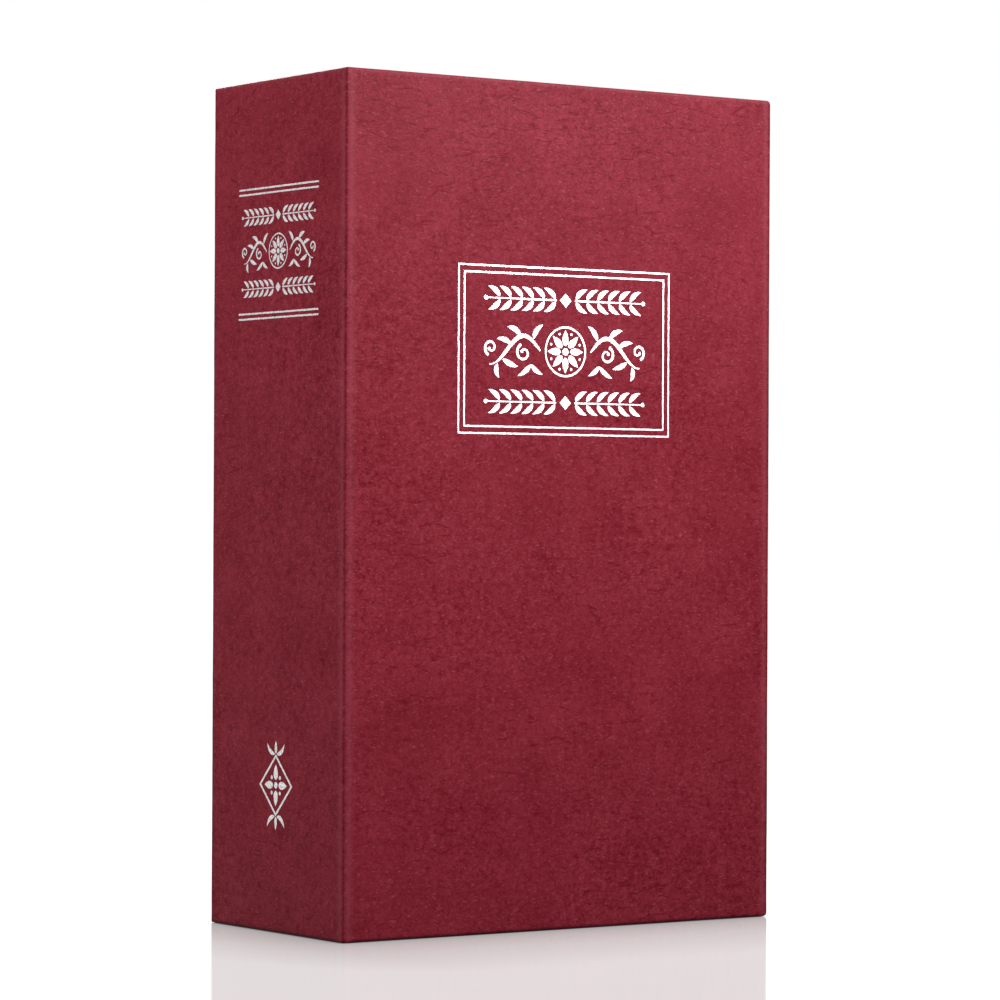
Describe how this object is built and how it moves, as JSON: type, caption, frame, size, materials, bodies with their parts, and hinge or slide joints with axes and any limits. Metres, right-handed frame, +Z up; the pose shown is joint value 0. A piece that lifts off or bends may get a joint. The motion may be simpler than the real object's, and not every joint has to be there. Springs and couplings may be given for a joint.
{
  "type": "book diversion safe",
  "caption": "Hard-backed red book whose front cover opens onto a hinged steel strongbox lid with a cam lock.",
  "frame": {"origin": "middle of the book's foot print, on the surface that its tail edge stands on", "axes": "+Z up to the head edge, +X from spine to fore edge, +Y from front cover to back cover"},
  "size_m": [0.111, 0.053, 0.18],
  "materials": {
    "covering_paper": "matt, finely embossed",
    "grey_board": "raw",
    "endpaper": "matt",
    "page_plastic": "moulded, ridged like leaves",
    "box_enamel": "black powder coat",
    "zinc_steel": "zinc plated",
    "lock_chrome": "polished",
    "wafer_brass": "stamped"
  },
  "bodies": {
    "book_body": {"spine_board": "grey_board", "back_board": "grey_board", "cover_paper_spine": "covering_paper", "cover_paper_back": "covering_paper", "joint_paper": "covering_paper", "back_endpaper": "endpaper", "page_frame": "page_plastic", "strongbox_body": "box_enamel", "lock_keeper": "zinc_steel", "box_screw_1": "zinc_steel", "box_screw_2": "zinc_steel", "box_screw_3": "zinc_steel", "box_screw_4": "zinc_steel", "box_screw_5": "zinc_steel", "box_screw_6": "zinc_steel", "hinge_leaf_body": "zinc_steel", "hinge_pin": "zinc_steel"},
    "front_cover": {"front_board": "grey_board", "cover_paper_front": "covering_paper", "front_endpaper": "endpaper"},
    "safe_lid": {"lid_panel": "box_enamel", "hinge_leaf_lid": "zinc_steel", "lock_housing": "lock_chrome", "lock_washer": "zinc_steel", "lock_nut": "zinc_steel"},
    "lock_plug_and_cam": {"lock_plug": "lock_chrome", "stop_washer": "zinc_steel", "lock_cam": "zinc_steel", "cam_washer": "zinc_steel", "cam_screw": "zinc_steel", "wafer_spring_1": "zinc_steel", "wafer_spring_2": "zinc_steel", "wafer_spring_3": "zinc_steel", "wafer_spring_4": "zinc_steel", "wafer_spring_5": "zinc_steel"},
    "wafer_1_body": {"wafer_1": "wafer_brass"},
    "wafer_2_body": {"wafer_2": "wafer_brass"},
    "wafer_3_body": {"wafer_3": "wafer_brass"},
    "wafer_4_body": {"wafer_4": "wafer_brass"},
    "wafer_5_body": {"wafer_5": "wafer_brass"}
  },
  "joints": [
    {"name": "cover_hinge", "type": "hinge", "parent": "book_body", "child": "front_cover", "pos_m": [-0.0552, -0.0262, 0.09], "axis": [0, 0, -1], "range_deg": [0, 180], "deforming": ["joint_paper"]},
    {"name": "lid_hinge", "type": "hinge", "parent": "book_body", "child": "safe_lid", "pos_m": [-0.04945, -0.0181, 0.09], "axis": [0, 0, -1], "range_deg": [0, 90]},
    {"name": "plug_turn", "type": "hinge", "parent": "safe_lid", "child": "lock_plug_and_cam", "pos_m": [0.0246, -0.02025, 0.09], "axis": [0, 1, 0], "range_deg": [0, 90]},
    {"name": "wafer_1_slide", "type": "slide", "parent": "lock_plug_and_cam", "child": "wafer_1_body", "axis": [0, 0, 1], "range_m": [0, 0.0012]},
    {"name": "wafer_2_slide", "type": "slide", "parent": "lock_plug_and_cam", "child": "wafer_2_body", "axis": [0, 0, 1], "range_m": [0, 0.0012]},
    {"name": "wafer_3_slide", "type": "slide", "parent": "lock_plug_and_cam", "child": "wafer_3_body", "axis": [0, 0, 1], "range_m": [0, 0.0012]},
    {"name": "wafer_4_slide", "type": "slide", "parent": "lock_plug_and_cam", "child": "wafer_4_body", "axis": [0, 0, 1], "range_m": [0, 0.0012]},
    {"name": "wafer_5_slide", "type": "slide", "parent": "lock_plug_and_cam", "child": "wafer_5_body", "axis": [0, 0, 1], "range_m": [0, 0.0012]}
  ],
  "couplings": [
    {"joint": "lid_hinge", "follows": "cover_hinge", "ratio": 0.5},
    {"joint": "wafer_2_slide", "follows": "wafer_1_slide", "ratio": 1},
    {"joint": "wafer_3_slide", "follows": "wafer_1_slide", "ratio": 1},
    {"joint": "wafer_4_slide", "follows": "wafer_1_slide", "ratio": 1},
    {"joint": "wafer_5_slide", "follows": "wafer_1_slide", "ratio": 1}
  ]
}
